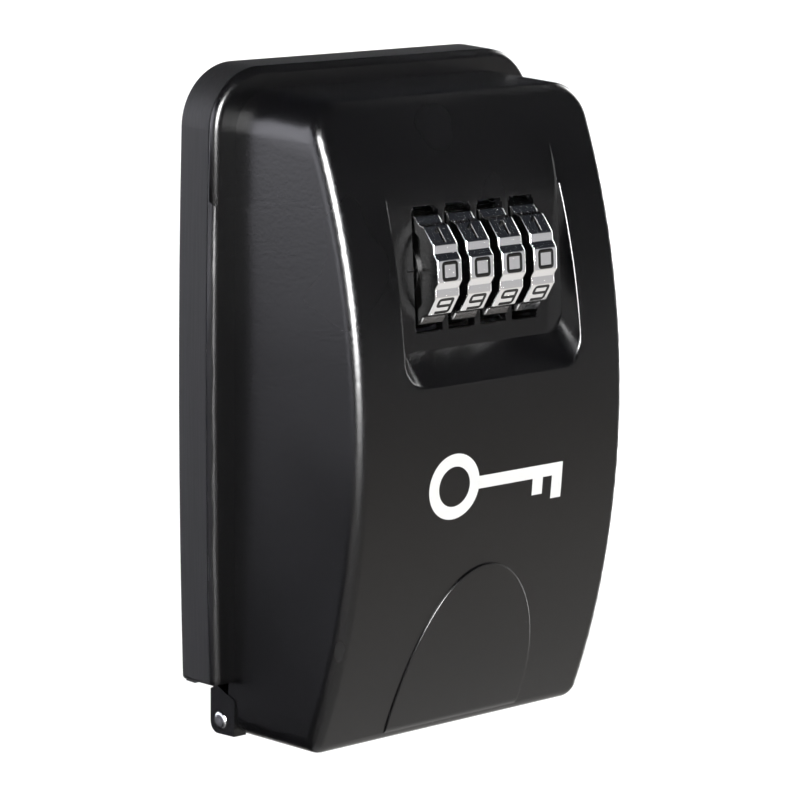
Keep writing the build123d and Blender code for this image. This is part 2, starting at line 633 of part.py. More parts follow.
# Springs that push the bolt up
WIRE_R, COIL_R, TURNS = 0.22, 1.05, 9
for side, x in zip(("left", "right"), SPRING_X):
    with BuildPart() as spring:
        height = BOLT_FOOT - SPRING_FOOT - 2 * WIRE_R
        with BuildLine() as coil:
            Helix(
                pitch=height / TURNS, height=height, radius=COIL_R, center=(x, SPRING_Y, SPRING_FOOT + WIRE_R)
            )
        with BuildSketch(Plane(coil.line @ 0, z_dir=coil.line % 0)):
            Circle(WIRE_R)
        sweep(path=coil.line, is_frenet=True)
    spring.part.label = f"latch_spring_{side}"
    export_step(spring.part, f"parts/latch_spring_{side}.step")

# Code-change lever: a handle behind the inner plate, a shaft, and a crank pin in the spindle's yoke
with BuildPart() as reset_lever:
    with BuildSketch(Plane.XZ.offset(PLATE_BACK - 1.4)):
        with Locations((CRANK_X, DIAL_Z)):
            SlotCenterToCenter(10, 4.4, rotation=90)
    extrude(amount=1.2)
    with BuildSketch(Plane.XZ.offset(PLATE_BACK - 1.4)):
        with Locations((CRANK_X, DIAL_Z)):
            Circle(1.25)
    extrude(amount=28.0 - PLATE_BACK + 1.4)
    with BuildSketch(Plane.XZ.offset(27.9)):
        with Locations((CRANK_X, DIAL_Z)):
            Circle(3.2)
    extrude(amount=1.1)
    with BuildSketch(Plane.XZ.offset(28.5)):
        with Locations((CRANK_X, DIAL_Z + SHIFT)):
            Circle(1.6)
    extrude(amount=2.9)
reset_lever.part.label = "reset_lever"
export_step(reset_lever.part, "parts/reset_lever.step")

with BuildPart() as lever_clip:
    with BuildSketch(Plane.XZ.offset(BASE_BACK + BASE_T + 0.1)):
        with Locations((CRANK_X, DIAL_Z)):
            Circle(2.3)
            Circle(1.3, mode=Mode.SUBTRACT)
    extrude(amount=0.5)
lever_clip.part.label = "lever_clip"
export_step(lever_clip.part, "parts/lever_clip.step")
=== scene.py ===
# %% [markdown]
# # A key lock box, in its finishes
# The key safe is a drop-down front cover on a cast housing, with four number dials in a recess.
# Its shapes were designed as a mechanism, and this file loads them as a fixed frame.
# What is added here is what the eye reads: soft edges, paint, plating, numbers and light.
# The scene is in metres, in the frame's own axes: +X right, -Y towards the viewer, +Z up. Sizes
# are written in millimetres, as on a drawing, and are multiplied by MM where Blender needs them.

# %% Load the frame
from math import cos, radians, sin

import bmesh
import bpy
from mathutils import Matrix, Vector


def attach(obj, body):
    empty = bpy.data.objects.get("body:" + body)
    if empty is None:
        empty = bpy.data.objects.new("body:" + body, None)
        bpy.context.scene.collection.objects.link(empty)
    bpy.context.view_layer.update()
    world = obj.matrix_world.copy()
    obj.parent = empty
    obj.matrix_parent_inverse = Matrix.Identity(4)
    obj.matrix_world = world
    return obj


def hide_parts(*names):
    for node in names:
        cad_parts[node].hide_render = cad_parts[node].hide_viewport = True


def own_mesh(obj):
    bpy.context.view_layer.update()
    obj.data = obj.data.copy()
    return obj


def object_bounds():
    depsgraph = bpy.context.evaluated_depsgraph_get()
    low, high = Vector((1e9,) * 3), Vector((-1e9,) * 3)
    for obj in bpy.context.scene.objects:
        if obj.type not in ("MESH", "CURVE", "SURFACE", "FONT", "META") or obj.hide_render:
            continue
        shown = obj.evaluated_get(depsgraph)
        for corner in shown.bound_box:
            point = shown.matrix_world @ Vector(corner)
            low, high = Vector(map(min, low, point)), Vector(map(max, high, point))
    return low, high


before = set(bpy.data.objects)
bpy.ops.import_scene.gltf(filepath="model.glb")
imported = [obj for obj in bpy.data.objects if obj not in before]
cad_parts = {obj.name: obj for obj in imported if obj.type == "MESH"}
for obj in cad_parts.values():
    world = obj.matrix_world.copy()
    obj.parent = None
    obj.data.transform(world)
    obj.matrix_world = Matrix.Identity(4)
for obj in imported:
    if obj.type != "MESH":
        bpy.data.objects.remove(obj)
cad_low, cad_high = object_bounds()
centre = (Vector(cad_low) + Vector(cad_high)) / 2
MM = 0.001
print("frame size in mm:", [round((high - low) / MM, 1) for low, high in zip(cad_low, cad_high)])

# %% [markdown]
# ## The camera
# A long lens from a little above, turned to the box's left, so that the side wall, the rounded
# front edge and the dials all show. A long lens keeps the upright edges nearly parallel, so the
# box keeps its proportions. The camera is given by the angles a person would call out, and is
# then rolled by a fraction of a degree, as a camera on a tripod often is.

# %% Camera
CAMERA_TURN, CAMERA_RISE, CAMERA_ROLL = radians(-41.64), radians(11.0), radians(0.64)
CAMERA_DISTANCE = 0.6595  # in metres
CAMERA_LENS_MM, CAMERA_SENSOR_MM = 166.6, 36.0
camera_target = centre + Vector((-3.7, 0.9, -0.2)) * MM

camera_data = bpy.data.cameras.new("camera")
camera_data.lens = CAMERA_LENS_MM
camera_data.sensor_width = CAMERA_SENSOR_MM
camera = bpy.data.objects.new("camera", camera_data)
bpy.context.scene.collection.objects.link(camera)
backwards = Vector(
    (sin(CAMERA_TURN) * cos(CAMERA_RISE), -cos(CAMERA_TURN) * cos(CAMERA_RISE), sin(CAMERA_RISE))
)
camera.matrix_world = (
    Matrix.Translation(camera_target + backwards * CAMERA_DISTANCE)
    @ backwards.to_track_quat("Z", "Y").to_matrix().to_4x4()
    @ Matrix.Rotation(CAMERA_ROLL, 4, "Z")
)
bpy.context.scene.camera = camera
print("camera at", [round(value, 3) for value in camera.matrix_world.translation])

# %% [markdown]
# ## Helpers for materials
# Colours are written as sRGB hex codes, the way they are picked from a paint chart, and one
# function turns them to the linear values that a shader works with. Another function adds a
# node with its settings and links, so that each material below reads as a list of steps.

# %% Material helpers
def colour(code):
    """The linear colour of an sRGB hex code such as 1a1a1c."""
    levels = [int(code[i : i + 2], 16) / 255 for i in (0, 2, 4)]
    return [v / 12.92 if v <= 0.04045 else ((v + 0.055) / 1.055) ** 2.4 for v in levels] + [1.0]


def add(tree, kind, links=(), **settings):
    """Adds a node. Settings are its properties, or its sockets by name with _ for a space.

    Each link is (socket of this node, other node, the other node's socket).
    """
    made = tree.nodes.new(kind)
    for name, value in settings.items():
        if hasattr(made, name):
            setattr(made, name, value)
        else:
            made.inputs[name.replace("_", " ")].default_value = value
    for socket, other, output in links:
        tree.links.new(made.inputs[socket], other.outputs[output])
    return made


def material(name, base, roughness, metallic=0.0, **settings):
    """A material with one Principled shader, the same all over."""
    made = bpy.data.materials.new(name)
    made.use_nodes = True
    shader = made.node_tree.nodes["Principled BSDF"]
    shader.inputs["Base Color"].default_value = colour(base)
    shader.inputs["Roughness"].default_value = roughness
    shader.inputs["Metallic"].default_value = metallic
    for socket, value in settings.items():
        shader.inputs[socket.replace("_", " ")].default_value = value
    print("material:", name)
    return made


def nodes_of(finish):
    """What a pattern needs: the material's tree, its shader and a node for places on the piece."""
    tree = finish.node_tree
    return tree, tree.nodes["Principled BSDF"], add(tree, "ShaderNodeTexCoord")


def per_mm(size_mm):
    """The scale of a texture in a scene in metres, for a feature of size_mm."""
    return 1.0 / (size_mm * MM)


# %% [markdown]
# ## Satin powder coat
# The cover is die-cast zinc with a black polyester powder coat. Powder melts into a skin that is
# never quite level: a very fine orange peel, less than a millimetre across, which breaks up a
# reflection without dulling it. The gloss also drifts a little over a few centimetres.

# %% Satin black powder coat
PEEL_MM, DRIFT_MM = 0.7, 22
satin_black = material("powder_coat_satin_black", "080809", 0.26, Specular_IOR_Level=0.3)
tree, shader, place = nodes_of(satin_black)
peel = add(tree, "ShaderNodeTexNoise", [("Vector", place, "Object")], Scale=per_mm(PEEL_MM), Detail=2.0)
drift = add(tree, "ShaderNodeTexNoise", [("Vector", place, "Object")], Scale=per_mm(DRIFT_MM), Detail=1.0)
gloss = add(tree, "ShaderNodeMapRange", [("Value", drift, "Fac")], To_Min=0.22, To_Max=0.3)
skin = add(tree, "ShaderNodeBump", [("Height", peel, "Fac")], Strength=0.5, Distance=0.03 * MM)
tree.links.new(shader.inputs["Roughness"], gloss.outputs["Result"])
tree.links.new(shader.inputs["Normal"], skin.outputs["Normal"])

# %% [markdown]
# ## Matt cast housing
# The housing behind has a flatter paint. Its sides were filed by hand where the die parted, and
# under the paint this leaves fine scratches that run up and down, a fraction of a millimetre
# apart. Stretching a noise along Z draws them.

# %% Matt black over filed casting
SCRATCH_MM, SCRATCH_STRETCH = 0.45, 0.04
matt_black = material("powder_coat_matt_black", "0b0b0c", 0.55, Specular_IOR_Level=0.18)
tree, shader, place = nodes_of(matt_black)
stretch = add(
    tree, "ShaderNodeMapping", [("Vector", place, "Object")], Scale=(1.0, 1.0, SCRATCH_STRETCH)
)
streaks = add(
    tree, "ShaderNodeTexNoise", [("Vector", stretch, "Vector")], Scale=per_mm(SCRATCH_MM), Detail=3.0
)
filed = add(tree, "ShaderNodeBump", [("Height", streaks, "Fac")], Strength=0.5, Distance=0.05 * MM)
dulled = add(tree, "ShaderNodeMapRange", [("Value", streaks, "Fac")], To_Min=0.45, To_Max=0.65)
tree.links.new(shader.inputs["Roughness"], dulled.outputs["Result"])
tree.links.new(shader.inputs["Normal"], filed.outputs["Normal"])

# %% [markdown]
# ## Plated dials
# The dials are zinc castings with bright chrome over nickel. Thin plating follows the tumbled
# surface below it, so it is a soft mirror with faint pits rather than a perfect one.

# %% Bright chrome plate
PIT_MM = 0.5
chrome = material("bright_chrome_plate", "dededf", 0.13, 1.0)
tree, shader, place = nodes_of(chrome)
tumbled = add(tree, "ShaderNodeTexNoise", [("Vector", place, "Object")], Scale=per_mm(PIT_MM), Detail=4.0)
haze = add(tree, "ShaderNodeMapRange", [("Value", tumbled, "Fac")], To_Min=0.08, To_Max=0.2)
pits = add(tree, "ShaderNodeBump", [("Height", tumbled, "Fac")], Strength=0.15, Distance=0.02 * MM)
tree.links.new(shader.inputs["Roughness"], haze.outputs["Result"])
tree.links.new(shader.inputs["Normal"], pits.outputs["Normal"])

# %% [markdown]
# ## The metals inside
# Pressed parts are zinc-plated, which shows as a cloudy grey with a faint blue cast. The pin and
# the spindle are turned, so they carry rings round X. The sleeves are brass, the hook is
# nickel-plated and the springs are plain bright wire.

# %% Zinc plate
CLOUD_MM = 1.6
zinc_plate = material("zinc_plated_steel", "a4a8ad", 0.34, 1.0)
tree, shader, place = nodes_of(zinc_plate)
cloud = add(tree, "ShaderNodeTexNoise", [("Vector", place, "Object")], Scale=per_mm(CLOUD_MM), Detail=3.0)
patches = add(tree, "ShaderNodeMapRange", [("Value", cloud, "Fac")], To_Min=0.26, To_Max=0.46)
tree.links.new(shader.inputs["Roughness"], patches.outputs["Result"])

# %% Turned steel
RING_MM = 3.0
turned_steel = material("turned_steel", "9b9c9e", 0.26, 1.0)
tree, shader, place = nodes_of(turned_steel)
rings = add(
    tree, "ShaderNodeTexWave", [("Vector", place, "Object")], Scale=per_mm(RING_MM), Distortion=1.5
)
tooling = add(tree, "ShaderNodeBump", [("Height", rings, "Fac")], Strength=0.3, Distance=0.01 * MM)
tree.links.new(shader.inputs["Normal"], tooling.outputs["Normal"])

# %% Brass, nickel, spring wire
brass = material("turned_brass", "b89a55", 0.28, 1.0)
nickel = material("nickel_plate", "b9b6ae", 0.2, 1.0)
wire = material("spring_steel_wire", "86888c", 0.3, 1.0)

# %% [markdown]
# ## Rubber, paint and print
# The seal is EPDM rubber, matt with a faint bloom. The numbers are filled with black enamel, and
# the pictogram on the cover is pad-printed in white: thin ink, slightly duller than the coat.

# %% Rubber
BLOOM_MM = 0.3
rubber = material("epdm_rubber", "141414", 0.75)
tree, shader, place = nodes_of(rubber)
bloom = add(tree, "ShaderNodeTexNoise", [("Vector", place, "Object")], Scale=per_mm(BLOOM_MM), Detail=2.0)
grain = add(tree, "ShaderNodeBump", [("Height", bloom, "Fac")], Strength=0.3, Distance=0.03 * MM)
tree.links.new(shader.inputs["Normal"], grain.outputs["Normal"])

# %% Enamel and ink
enamel = material("black_enamel", "080808", 0.25)
ink = material("white_pad_print", "f4f4f2", 0.45)

# %% [markdown]
# ## Materials on the frame
# Every piece of the frame gets the finish of the real part. A piece whose name isn't listed is a
# pressing or a screw, and those are zinc-plated. Pieces with soft edges are copied further down.

# %% Materials on the frame
finishes = {
    "rear_housing": matt_black,
    "front_cover": satin_black,
    "rim_seal": rubber,
    "key_hook": nickel,
    "hinge_pin": turned_steel,
    "strike_rivets": turned_steel,
    "spindle": turned_steel,
    "detent_spring": wire,
    "latch_spring": wire,
    "lever_clip": wire,
    "cam_sleeve": brass,
    "dial": chrome,
}
for name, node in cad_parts.items():
    finish = next((finishes[kind] for kind in finishes if name.startswith(kind)), zinc_plate)
    node.data.materials.clear()
    node.data.materials.append(finish)
print("finished pieces:", len(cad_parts))

# %% [markdown]
# ## Soft edges
# No cast, plated or painted edge is truly sharp. A soft edge is what catches a thin line of
# light, so the outer pieces are copied from the frame, their loose triangles are merged, and the
# edges that a hand can feel are bevelled. The copy then stands for the frame's piece.

# %% Helpers for pieces
def alone(piece):
    """Selects one object and makes it the active one."""
    bpy.ops.object.select_all(action="DESELECT")
    piece.select_set(True)
    bpy.context.view_layer.objects.active = piece


def choose(piece, kind, wanted):
    """In edit mode, selects the piece's edges or faces that wanted accepts. Returns their number."""
    bpy.ops.mesh.select_mode(type=kind)
    bpy.ops.mesh.select_all(action="DESELECT")
    mesh = bmesh.from_edit_mesh(piece.data)
    chosen = [element for element in (mesh.edges if kind == "EDGE" else mesh.faces) if wanted(element)]
    for element in chosen:
        element.select_set(True)
    bmesh.update_edit_mesh(piece.data)
    return len(chosen)


def copy_of(node, name, body, finish, flat=lambda face: True):
    """A merged copy of a frame node that stands for it. Flat faces are joined where flat allows."""
    piece = bpy.data.objects.new(name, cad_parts[node].data.copy())
    bpy.context.scene.collection.objects.link(piece)
    alone(piece)
    bpy.ops.object.mode_set(mode="EDIT")
    bpy.ops.mesh.select_mode(type="FACE")
    bpy.ops.mesh.select_all(action="SELECT")
    bpy.ops.mesh.remove_doubles(threshold=0.001 * MM)
    choose(piece, "FACE", flat)
    bpy.ops.mesh.dissolve_limited(angle_limit=radians(0.05), use_dissolve_boundaries=False)
    bpy.ops.mesh.customdata_custom_splitnormals_clear()
    bpy.ops.object.mode_set(mode="OBJECT")
    piece.data.materials.clear()
    piece.data.materials.append(finish)
    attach(piece, body)
    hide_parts(node)
    return piece


def middle(element):
    """The middle of an edge or a face, in millimetres."""
    return sum((vertex.co for vertex in element.verts), Vector()) / len(element.verts) / MM


def soften(piece, wanted, radius_mm, steps=3, sharper_than=30):
    """Bevels the outward edges that turn by more than an angle and whose middle wanted accepts."""
    alone(piece)
    bpy.ops.object.mode_set(mode="EDIT")
    count = choose(
        piece,
        "EDGE",
        lambda edge: edge.calc_face_angle_signed(0.0) > radians(sharper_than) and wanted(middle(edge)),
    )
    bpy.ops.mesh.bevel(offset=radius_mm * MM, segments=steps, affect="EDGES", clamp_overlap=False)
    bpy.ops.object.mode_set(mode="OBJECT")
    print(piece.name, "soft edges:", count)


def smooth(piece, angle=35):
    """Smooth shading that leaves flat faces flat."""
    alone(piece)
    bpy.ops.object.shade_smooth_by_angle(angle=radians(angle))
    weigh = piece.modifiers.new("weighted", "WEIGHTED_NORMAL")
    weigh.keep_sharp = True
    bpy.ops.object.modifier_apply(modifier=weigh.name)


# %% [markdown]
# ### The cover
# A casting's edges are eased in its die, and the paint rounds them a little more. The lips of
# the recess are rounded most, the edge of the arch at the cover's foot less, and the slots for
# the dials least. The big round edge of the bulge is already in the frame. Each group of edges
# is found by where it is: before the leaning panel, on the panel, or along the arch's ellipse.

# %% Where the cover's edges are, in millimetres
PANEL_Y, PANEL_Z, PANEL_LEAN, LIP_STANDS = -34.87, 20.65, 0.0787, 0.6
RECESS_HALF, RECESS_FOOT, RECESS_TOP = 24, -1, 41.3
SLOTS_HALF, SLOTS_FOOT, SLOTS_TOP, SLOTS_FRONT, SLOTS_BACK = 16, 9, 33, -36.2, -33.7
ARCH_HALF, ARCH_HIGH, ARCH_FOOT, ARCH_SPREAD, ARCH_BACK = 16, 28, -60, 0.08, -30
FRONT_HALF, FRONT_FOOT, FRONT_TOP, FRONT_BACK = 26, -12, 50, -28


def round_recess(face):
    """Whether a face is on the part of the front that holds the recess, whose flats are joined."""
    m = middle(face)
    return abs(m.x) < FRONT_HALF and FRONT_FOOT < m.z < FRONT_TOP and m.y < FRONT_BACK


def on_lip(m):
    """Whether a place is on a lip of the recess, which stands before the leaning panel."""
    nearest = PANEL_Y - LIP_STANDS + (m.z - PANEL_Z) * PANEL_LEAN
    return abs(m.x) < RECESS_HALF and RECESS_FOOT < m.z < RECESS_TOP and m.y < nearest


def on_slot(m):
    """Whether a place is on the panel, on an edge of a dial's slot."""
    return abs(m.x) < SLOTS_HALF and SLOTS_FOOT < m.z < SLOTS_TOP and SLOTS_FRONT < m.y < SLOTS_BACK


def on_arch(m):
    """Whether a place is on the half ellipse that bounds the arch at the foot of the front."""
    ellipse = (m.x / ARCH_HALF) ** 2 + ((m.z - ARCH_FOOT) / ARCH_HIGH) ** 2
    return abs(ellipse - 1) < ARCH_SPREAD and m.y < ARCH_BACK


# %% Cover shell
cover = copy_of("front_cover", "cover_shell", "cover", satin_black, round_recess)
soften(cover, on_lip, radius_mm=0.45, steps=4, sharper_than=15)
soften(cover, on_slot, radius_mm=0.15, steps=2, sharper_than=60)
soften(cover, on_arch, radius_mm=0.28, steps=3, sharper_than=30)
smooth(cover)

# %% [markdown]
# ### The bowed sides
# Round its back the cover has a bead whose long sides are slightly bowed. Once their triangles
# are merged, their shading is guessed from large faces, and a reflection bends where one face
# ends. The frame's own piece still holds the exact normals, so a data transfer copies them, but
# only to these sides: the softened edges keep the shading that was made for them.

# %% Shading of the bowed sides
BOWED_FROM_X, BOWED_UP_TO_Z = 35.4, 43
bowed = cover.vertex_groups.new(name="bowed")
on_side = [
    vertex.index
    for vertex in cover.data.vertices
    if abs(vertex.co.x) > BOWED_FROM_X * MM and abs(vertex.co.z) < BOWED_UP_TO_Z * MM
]
bowed.add(on_side, 1.0, "REPLACE")
shading = cover.modifiers.new("shading", "DATA_TRANSFER")
shading.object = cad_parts["front_cover"]
shading.use_loop_data = True
shading.data_types_loops = {"CUSTOM_NORMAL"}
shading.loop_mapping = "NEAREST_POLYNOR"
shading.vertex_group = bowed.name
alone(cover)
bpy.ops.object.modifier_apply(modifier=shading.name)
print("vertices on the bowed sides:", len(on_side))

# %% [markdown]
# ### The dials
# One dial is softened and copied to the other three places. Its rim is chrome, and its flat
# sides and all that lies inside the rim are black enamel. The numbers run upwards: each next
# one is 36 degrees further over the top, and the zeros are in front when the code is 0-0-0-0.

# %% Dials
DIAL_PITCH, DIAL_COUNT = 7.55, 4
DIAL_AXIS = Vector((0, -30.44, 20.65))
RIM_RADIUS = 9.2  # what is further out than this is the rim
SIDE_FACING = 0.9  # a face that looks along X more than this is on a dial's side
dial_x = [DIAL_PITCH * (n - (DIAL_COUNT - 1) / 2) for n in range(DIAL_COUNT)]


def from_axis(spot):
    """How far a place is from the dials' axis, in millimetres."""
    return Vector((spot.y - DIAL_AXIS.y, spot.z - DIAL_AXIS.z)).length


first_dial = copy_of("dial_1", "dial_soft_1", "dial_1_ring", chrome)
soften(first_dial, lambda m: from_axis(m) > RIM_RADIUS, radius_mm=0.12, steps=2, sharper_than=25)
smooth(first_dial, 25)
first_dial.data.materials.append(enamel)
for face in first_dial.data.polygons:
    masked = from_axis(face.center / MM) < RIM_RADIUS or abs(face.normal.x) > SIDE_FACING
    face.material_index = 1 if masked else 0
for number in range(2, DIAL_COUNT + 1):
    copied = first_dial.data.copy()
    copied.transform(Matrix.Translation(Vector((dial_x[number - 1] - dial_x[0], 0, 0)) * MM))
    dial = bpy.data.objects.new(f"dial_soft_{number}", copied)
    bpy.context.scene.collection.objects.link(dial)
    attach(dial, f"dial_{number}_ring")
    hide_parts(f"dial_{number}")
print("dials at x in mm:", [round(x, 2) for x in dial_x])

# %% [markdown]
# ### The latch springs
# Two springs push the latch bolt up, and shorten when it slides down by 3 mm. Each one is
# copied from the frame and rides with the cover.

# %% Latch springs
SPRING_X = {"left": -4.0, "right": 11.6}
for side, x in SPRING_X.items():
    spring = bpy.data.objects.new(f"spring_{side}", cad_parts[f"latch_spring_{side}"].data.copy())
    bpy.context.scene.collection.objects.link(spring)
    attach(spring, "cover")
    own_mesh(spring)
    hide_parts(f"latch_spring_{side}")
print("springs that shorten:", len(SPRING_X))

# %% [markdown]
# ### The numbers
# Squared numbers suit a small facet. Each one is a bent stroke with rounded corners, drawn as a
# curve that is given the stroke's width, made into a mesh and pressed nearly flat. It stands a
# few hundredths of a millimetre proud, as a filled and polished number does. The strokes are
# drawn in a square from -1 to 1, as a sign writer would set them out, and then take their size.

# %% Strokes of the numbers
STROKES = {
    0: [((-1, -1), (1, -1), (1, 1), (-1, 1))],
    1: [((-0.6, 0.4), (0.0, 1), (0.0, -1))],
    2: [((-1, 1), (1, 1), (1, 0), (-1, 0), (-1, -1), (1, -1))],
    3: [((-1, 1), (1, 1), (1, -1), (-1, -1)), ((-0.6, 0), (1, 0))],
    4: [((-1, 1), (-1, 0), (1, 0)), ((1, 1), (1, -1))],
    5: [((1, 1), (-1, 1), (-1, 0), (1, 0), (1, -1), (-1, -1))],
    6: [((1, 1), (-1, 1), (-1, -1), (1, -1), (1, 0), (-1, 0))],
    7: [((-1, 1), (1, 1), (1, -1))],
    8: [((-1, -1), (1, -1), (1, 1), (-1, 1)), ((-1, 0), (1, 0))],
    9: [((1, 0), (-1, 0), (-1, 1), (1, 1), (1, -1), (-1, -1))],
}
CLOSED = {0: 1, 8: 1}  # how many of a number's strokes close on themselves
print("numbers drawn:", len(STROKES))

# %% One number as a mesh
STROKE, NUMBER_WIDE, NUMBER_HIGH, NUMBER_RAISED = 0.66, 3.75, 3.5, 0.05
BEND, SHORT_BEND = 0.45, 0.15  # the flag of the one is short and takes a tighter bend
BEND_STEPS = 4


def rounded(corners, closed, radius):
    """The points of a bent line whose corners are replaced by short arcs."""
    points = []
    for index, corner in enumerate(corners):
        if not closed and index in (0, len(corners) - 1):
            points.append(corner)
            continue
        before = (corners[index - 1] - corner).normalized() * radius
        after = (corners[(index + 1) % len(corners)] - corner).normalized() * radius
        for step in range(BEND_STEPS + 1):
            t = step / BEND_STEPS
            points.append(corner + before * (1 - t) ** 2 + after * t**2)
    return points


def number_sheet(number):
    """One number in the XY plane, its middle at the origin and its top towards +Y."""
    half = Vector(((NUMBER_WIDE - STROKE) / 2, (NUMBER_HIGH - STROKE) / 2, 0))
    drawn = bpy.data.curves.new(f"number_{number}", "CURVE")
    drawn.dimensions = "3D"
    drawn.bevel_depth = STROKE / 2 * MM
    drawn.bevel_resolution = 2
    drawn.use_fill_caps = True
    for index, stroke in enumerate(STROKES[number]):
        closed = index < CLOSED.get(number, 0)
        corners = [Vector((x * half.x, y * half.y, 0)) for x, y in stroke]
        points = rounded(corners, closed, SHORT_BEND if number == 1 else BEND)
        line = drawn.splines.new("POLY")
        line.points.add(len(points) - 1)
        for point, spot in zip(line.points, points):
            point.co = (*(spot * MM), 1)
        line.use_cyclic_u = closed
    piece = bpy.data.objects.new(f"number_{number}", drawn)
    bpy.context.scene.collection.objects.link(piece)
    alone(piece)
    bpy.ops.object.convert(target="MESH")
    piece = bpy.context.active_object
    piece.data.transform(Matrix.Diagonal((1, 1, 2 * NUMBER_RAISED / STROKE, 1)))
    piece.data.materials.clear()
    piece.data.materials.append(enamel)
    return piece


# %% Numbers on the dials
FACET_RADIUS, FACET_TILT, FACET_STEP = 10.366, 4.5, 36.0
sheets = [number_sheet(number) for number in range(len(STROKES))]
for index, x in enumerate(dial_x, start=1):
    placed = []
    for number, sheet in enumerate(sheets):
        tilt = radians(FACET_TILT + FACET_STEP * number)
        out = Vector((0, -cos(tilt), sin(tilt)))
        up = Vector((0, sin(tilt), cos(tilt)))
        turn = Matrix((Vector((1, 0, 0)), up, out)).transposed().to_4x4()
        spot = (Vector((x, 0, 0)) + DIAL_AXIS + out * FACET_RADIUS) * MM
        copied = sheet.data.copy()
        copied.transform(Matrix.Translation(spot) @ turn)
        placed.append(bpy.data.objects.new(f"numbers_{index}", copied))
        bpy.context.scene.collection.objects.link(placed[-1])
    bpy.ops.object.select_all(action="DESELECT")
    for piece in placed:
        piece.select_set(True)
    bpy.context.view_layer.objects.active = placed[0]
    bpy.ops.object.join()
    numbers = bpy.context.active_object
    numbers.name = f"numbers_{index}"
    bpy.ops.object.shade_smooth_by_angle(angle=radians(40))
    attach(numbers, f"dial_{index}_ring")
for sheet in sheets:
    bpy.data.objects.remove(sheet)
print("numbers on", DIAL_COUNT, "dials")

# %% [markdown]
# ### The pictogram
# The cover carries a plain drawing of a key in white ink: a ring, a stem and two teeth. It is
# drawn flat in front of the cover, wrapped on the bulge and raised by the thickness of the ink.

# %% Flat key
KEY_Z = -16.6
BOW_X, BOW_RADIUS, BOW_WIDE, BOW_CORNERS = -9.6, 5.9, 2.3, 72
STEM_LEFT, STEM_RIGHT, STEM_HALF = -3.9, 16.4, 1.15
TOOTH_WIDE = 2.5
TEETH = ((13.9, 5.4), (9.2, 4.2))  # each one's left edge and its reach below the stem's middle


def flat_bar(left, right, foot, top):
    """A flat rectangle in the XZ plane, in millimetres."""
    bpy.ops.mesh.primitive_plane_add(
        size=1, location=((left + right) / 2 * MM, 0, (foot + top) / 2 * MM)
    )
    bar = bpy.context.active_object
    bar.scale = ((right - left) * MM, (top - foot) * MM, 1)
    bar.rotation_euler = (radians(90), 0, 0)
    return bar


bpy.ops.object.select_all(action="DESELECT")
bpy.ops.mesh.primitive_circle_add(
    vertices=BOW_CORNERS,
    radius=BOW_RADIUS * MM,
    fill_type="NGON",
    location=(BOW_X * MM, 0, KEY_Z * MM),
    rotation=(radians(90), 0, 0),
)
bow = bpy.context.active_object
bpy.ops.object.mode_set(mode="EDIT")
bpy.ops.mesh.inset(thickness=BOW_WIDE * MM)
bpy.ops.mesh.delete(type="FACE")
bpy.ops.object.mode_set(mode="OBJECT")
bars = [flat_bar(STEM_LEFT, STEM_RIGHT, KEY_Z - STEM_HALF, KEY_Z + STEM_HALF)]
bars += [flat_bar(left, left + TOOTH_WIDE, KEY_Z - reach, KEY_Z - STEM_HALF) for left, reach in TEETH]
print("pieces of the key:", 1 + len(bars))

# %% Key wrapped on the cover
IN_FRONT, INK_THICK = 60, 0.04
bpy.ops.object.select_all(action="DESELECT")
for piece in bars + [bow]:
    piece.select_set(True)
bpy.context.view_layer.objects.active = bow
bpy.ops.object.join()
pictogram = bpy.context.active_object
pictogram.name = "key_pictogram"
bpy.ops.transform.translate(value=(0, -IN_FRONT * MM, 0))
bpy.ops.object.transform_apply(location=True, rotation=True, scale=True)
bpy.ops.object.mode_set(mode="EDIT")
bpy.ops.mesh.select_all(action="SELECT")
bpy.ops.mesh.subdivide(number_cuts=3)
bpy.ops.object.mode_set(mode="OBJECT")
wrap = pictogram.modifiers.new("wrap", "SHRINKWRAP")
wrap.target = cover
wrap.wrap_method = "PROJECT"
wrap.use_project_y = True
wrap.use_negative_direction = False
wrap.use_positive_direction = True
wrap.offset = INK_THICK * MM
bpy.ops.object.modifier_apply(modifier=wrap.name)
bpy.ops.object.shade_smooth()
pictogram.data.materials.append(ink)
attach(pictogram, "cover")
print("pictogram depth in mm:", [round(v.co.y / MM, 2) for v in list(pictogram.data.vertices)[:3]])

# %% [markdown]
# ## The studio
# The box hangs over a pale floor in soft white light from all round. A black glossy coat shows
# what stands around it, so the reflections are arranged apart from the light. The room that they
# show is dark overhead and pale along the floor.

# %% Floor
FLOOR_BELOW, FLOOR_WIDE = 60 * MM, 12.0  # in metres
bpy.ops.object.select_all(action="DESELECT")
bpy.ops.mesh.primitive_plane_add(size=FLOOR_WIDE, location=(0, 0, cad_low[2] - FLOOR_BELOW))
floor = bpy.context.active_object
floor.name = "floor"
floor.visible_glossy = False
floor.data.materials.append(material("matt_white_sweep", "fafafa", 0.9))

# %% The room
bpy.context.scene.view_settings.view_transform = "Standard"
world = bpy.data.worlds.new("studio")
world.use_nodes = True
world.cycles.sampling_method = "NONE"
bpy.context.scene.world = world
room = world.node_tree
around = add(room, "ShaderNodeTexCoord")
height = add(room, "ShaderNodeSeparateXYZ", [("Vector", around, "Generated")])

